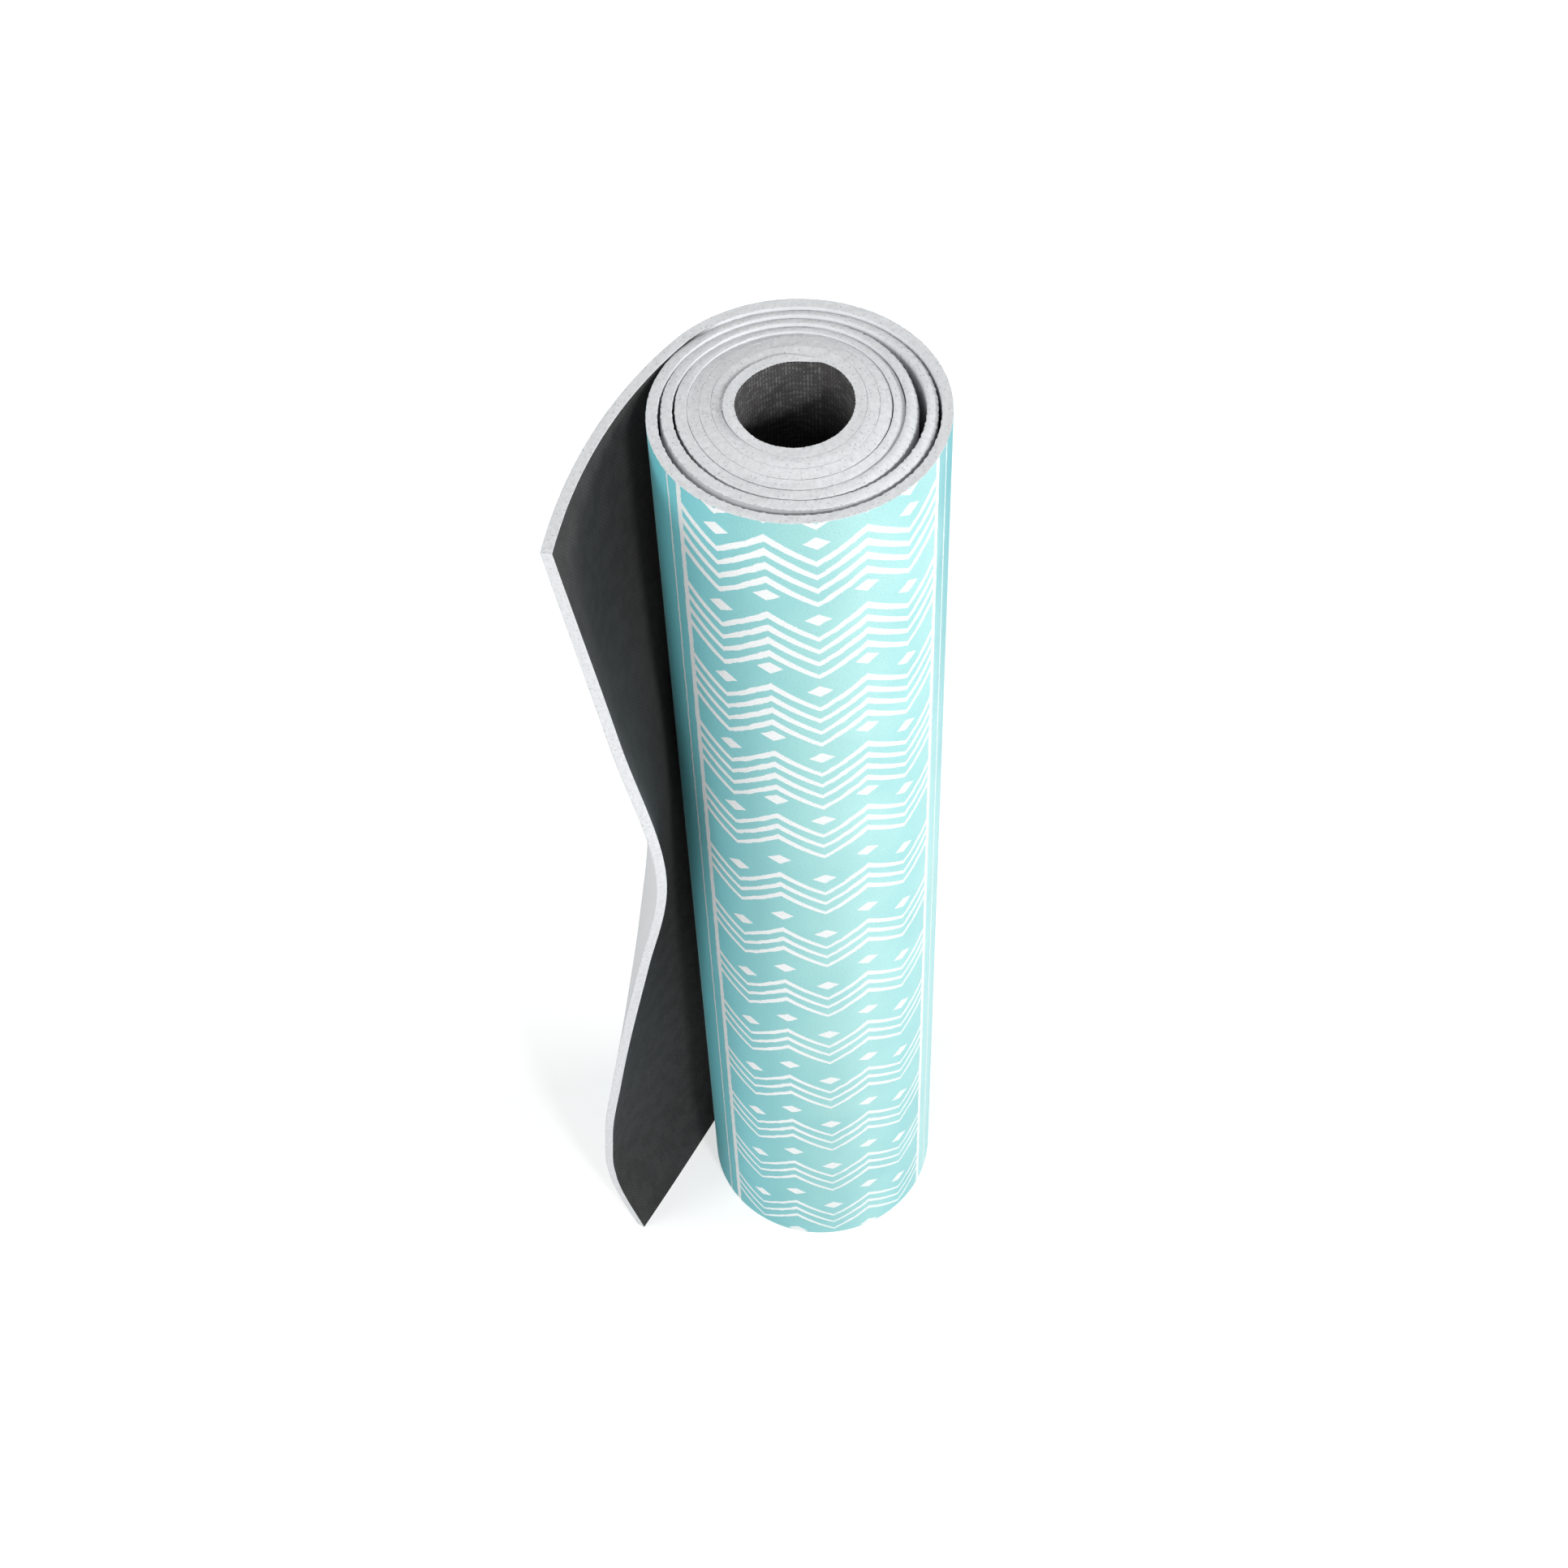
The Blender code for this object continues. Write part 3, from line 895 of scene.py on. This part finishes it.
def painted_bore_light(tree, where, run, rib, shown):
    """Painted light on the bore's wall, paler on the weave and on pale slubs along its ribs; the stretch just
    beside the inner end is left dark, as in shade.
    """
    stretched = add(tree, "ShaderNodeMapping", {"Vector": where, "Scale": SLUB_STRETCH})
    slub = add(
        tree, NOISE, {"Vector": stretched, "Scale": 1 / SLUB_SIZE, "Detail": 1.0}, noise_dimensions="2D")
    slub = add(tree, RANGE, (slub, 0.46, 0.66), interpolation_type="SMOOTHSTEP")
    column = add(tree, MATH, (rib, 0.5, 0.5), operation="MULTIPLY_ADD")
    slub = add(tree, MATH, (column, slub), operation="MULTIPLY")
    paler = add(tree, MATH, (slub, 0.55, 0.12), operation="MULTIPLY_ADD")
    paler = add(tree, MATH, (shown, 0.3, paler), operation="MULTIPLY_ADD")
    in_bore = add(tree, RANGE, (run, *BORE_LIGHT_FROM), interpolation_type="SMOOTHSTEP")
    return add(tree, MATH, (in_bore, paler), operation="MULTIPLY")


def painted_gap_light(tree, run, height):
    """Inside the roll, by the cut edge, the grip side is painted the foam's pale colour, as painted light in
    the gaps.
    """
    wound_in = add(tree, RANGE, (run, *GAP_LIGHT_FROM), interpolation_type="SMOOTHSTEP")
    not_bore = add(tree, MATH, (run, GAP_LIGHT_TO), operation="LESS_THAN")
    inner = add(tree, MATH, (wound_in, not_bore), operation="MULTIPLY")
    by_edge = add(tree, RANGE, (height, *GAP_LIGHT_UP), interpolation_type="SMOOTHSTEP")
    return add(tree, MATH, (inner, by_edge), operation="MULTIPLY")


def grip_base():
    """A charcoal rubbery coating with a woven face: it gives the eye a dull, dark side with
    faint upright ribs, cross threads and paler flecks, and painted light at middle height, on the bore's wall
    and in the gaps."""
    values = {"Roughness": 0.75, "Specular IOR Level": 0.3}
    material, tree, shader = new_material("charcoal grip base", values)
    where = add(tree, "ShaderNodeUVMap", uv_map="sheet")
    run, height = add(tree, "ShaderNodeSeparateXYZ", (where,)).node.outputs[:2]
    rib = add(tree, MATH, (run, 2 * math.pi / RIB_PITCH), operation="MULTIPLY")
    rib = add(tree, MATH, (rib,), operation="SINE")
    cross = add(tree, MATH, (height, 2 * math.pi / CROSS_PITCH), operation="MULTIPLY")
    cross = add(tree, MATH, (cross,), operation="SINE")
    cross = add(tree, MATH, (cross, 0.7, 0.3), operation="MULTIPLY_ADD")
    weave = add(tree, MATH, (rib, cross), operation="MULTIPLY")
    weave = add(tree, MATH, (weave, 0.5, 0.5), operation="MULTIPLY_ADD")
    worn = add(tree, NOISE, {"Vector": where, "Scale": 1 / WORN_SIZE}, noise_dimensions="2D")
    worn = add(tree, RANGE, (worn, 0.40, 0.62), interpolation_type="SMOOTHSTEP")
    worn = add(tree, MATH, (worn, 0.25, 0.25), operation="MULTIPLY_ADD")
    shown = add(tree, MATH, (weave, worn), operation="MULTIPLY")
    stretched = add(tree, "ShaderNodeMapping", {"Vector": where, "Scale": FLECK_STRETCH})
    fleck = add(
        tree, NOISE, {"Vector": stretched, "Scale": 1 / FLECK_SIZE, "Detail": 3.0, "Roughness": 0.7},
        noise_dimensions="2D")

    tone = add(tree, MIX, {0: fleck, 6: linear("#232121"), 7: linear("#413e3e")}, 2, data_type="RGBA")
    tone = add(tree, MIX, {0: shown, 6: tone, 7: linear("#5b5858")}, 2, data_type="RGBA")
    # Painted light: the grip side is paler at middle height
    rubbed = rubbed_middle(tree, height)
    tone = add(tree, MIX, {0: rubbed, 6: tone, 7: linear("#808080")}, 2, data_type="RGBA")
    # Painted light on the bore's wall: the weave and slubs are made paler there
    bore_light = painted_bore_light(tree, where, run, rib, shown)
    tone = add(tree, MIX, {0: bore_light, 6: tone, 7: linear("#808080")}, 2, data_type="RGBA")
    # Painted light in the gaps: the grip side by the cut edge is given the foam's pale colour
    foam = painted_gap_light(tree, run, height)
    tone = add(tree, MIX, {0: foam, 6: tone, 7: linear("#e4e6e8")}, 2, data_type="RGBA")
    relief = add(tree, MATH, (fleck, 0.5), operation="MULTIPLY")
    relief = add(tree, MATH, (weave, 0.6, relief), operation="MULTIPLY_ADD")
    bump = add(tree, "ShaderNodeBump", {"Height": relief, "Distance": 0.00022, "Strength": 0.8})
    tree.links.new(tone, shader.inputs["Base Color"])
    tree.links.new(bump, shader.inputs["Normal"])
    return material


def dress(pieces, finish, layer):
    """Give a layer's two pieces their material, and say what they follow and replace."""
    wound, hanging = pieces
    wound.data.materials.append(finish)
    hanging.data.materials.append(finish)
    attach(wound, "roll")
    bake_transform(hanging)
    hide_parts("roll_" + layer)
    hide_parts("free_end_" + layer)


layers = (
    (film_layer(), printed_film(), "printed_surface"),
    (foam_layer(), cut_foam(), "foam_core"),
    (grip_layer(), grip_base(), "grip_base"),
)
for pieces, finish, layer in layers:
    dress(pieces, finish, layer)

# The floor under the mat, what it glows with by the mat and far off, and where it changes
FLOOR_SIZE = 16
FLOOR_DROP = 0.0002
GLOW_BY_MAT = 0.56
GLOW_FAR_OFF = 0.90
GLOW_RISES = (0.25, 0.85)

# The sky's strength as a light, and as the camera sees it
SKY_LIGHT = 0.26
SKY_SEEN = 1.0

LIT_MIDDLE = Vector((0, 0, 0.35))
LIGHTS = (
    # name, direction and height in degrees, distance and size in metres, power in watts
    ("key_light", -64, 34.5, 2.4, 0.35, 21),
    ("right_fill", 0, 27, 2.6, 1.0, 37),
    ("front_fill", -113, 32, 2.4, 1.2, 17),
    ("left_fill", -170, 32, 2.4, 1.0, 17),
)

# The photograph's camera, found by fitting the roll's rims and sides
CAMERA_PLACE = (ROLL_AXIS[0], ROLL_AXIS[1] - 0.7521, 1.3654)
CAMERA_PITCH = 53.353
CAMERA_TURN = -0.917
CAMERA_ROLL = -2.617
CAMERA_LENS = 59.37
CAMERA_SENSOR = 36


def studio_floor():
    """A white sweep: for the camera alone it is lifted to white, less so by the mat, where
    its soft shadows stay."""
    values = {"Roughness": 0.9, "Specular IOR Level": 0.1, "Emission Color": (1, 1, 1, 1)}
    material, tree, shader = new_material("white studio floor", values)
    seen = add(tree, "ShaderNodeLightPath", output="Is Camera Ray")
    colour = add(tree, MIX, {0: seen, 6: linear("#ececec"), 7: linear("#c6c6c6")}, 2, data_type="RGBA")
    place = add(tree, "ShaderNodeTexCoord", output="Object")
    away = add(tree, "ShaderNodeVectorMath", (place,), "Value", operation="LENGTH")
    away = add(tree, RANGE, (away, *GLOW_RISES), interpolation_type="SMOOTHSTEP")
    glow = add(tree, MATH, (away, GLOW_FAR_OFF - GLOW_BY_MAT, GLOW_BY_MAT), operation="MULTIPLY_ADD")
    glow = add(tree, MATH, (seen, glow), operation="MULTIPLY")
    tree.links.new(colour, shader.inputs["Base Color"])
    tree.links.new(glow, shader.inputs["Emission Strength"])
    bpy.ops.mesh.primitive_plane_add(size=FLOOR_SIZE, location=(0, 0, -FLOOR_DROP))
    floor = bpy.context.object
    floor.name = "studio_floor"
    floor.data.materials.append(material)


def softbox(name, direction, height, distance, size, power):
    """A round light, aimed at the roll's middle."""
    data = bpy.data.lights.new(name, "AREA")
    data.shape = "DISK"
    data.size = size
    data.energy = power
    around, up = math.radians(direction), math.radians(height)
    away = Vector((math.cos(up) * math.cos(around), math.cos(up) * math.sin(around), math.sin(up)))
    lamp = bpy.data.objects.new(name, data)
    lamp.location = LIT_MIDDLE + away * distance
    lamp.rotation_euler = away.to_track_quat("Z", "Y").to_euler()
    bpy.context.scene.collection.objects.link(lamp)


def light_and_world():
    """A small key throws the shadows in the bore and on the free end; the rest is soft fill."""
    for light in LIGHTS:
        softbox(*light)
    world = bpy.data.worlds.new("studio")
    world.use_nodes = True
    bpy.context.scene.world = world
    tree = world.node_tree
    sky = tree.nodes["Background"]
    sky.inputs["Color"].default_value = (1, 1, 1, 1)
    seen = add(tree, "ShaderNodeLightPath", output="Is Camera Ray")
    strength = add(tree, MATH, (seen, SKY_SEEN - SKY_LIGHT, SKY_LIGHT), operation="MULTIPLY_ADD")
    tree.links.new(strength, sky.inputs["Strength"])


def photo_camera():
    """The camera, turned about its own axes as the photograph's was."""
    pitch, turn, roll = (math.radians(a) for a in (CAMERA_PITCH, CAMERA_TURN, CAMERA_ROLL))
    forward = Vector((
        math.sin(turn) * math.cos(pitch), math.cos(turn) * math.cos(pitch), -math.sin(pitch)))
    right = Vector((math.cos(turn), -math.sin(turn), 0))
    up = right.cross(forward)
    x = math.cos(roll) * right + math.sin(roll) * up
    y = -math.sin(roll) * right + math.cos(roll) * up
    data = bpy.data.cameras.new("photo_camera")
    data.sensor_width = CAMERA_SENSOR
    data.lens = CAMERA_LENS
    camera = bpy.data.objects.new("photo_camera", data)
    turned = Matrix((x, y, -forward)).transposed().to_4x4()
    camera.matrix_world = Matrix.Translation(CAMERA_PLACE) @ turned
    bpy.context.scene.collection.objects.link(camera)
    bpy.context.scene.camera = camera


studio_floor()
light_and_world()
photo_camera()
bpy.context.scene.view_settings.view_transform = "Standard"
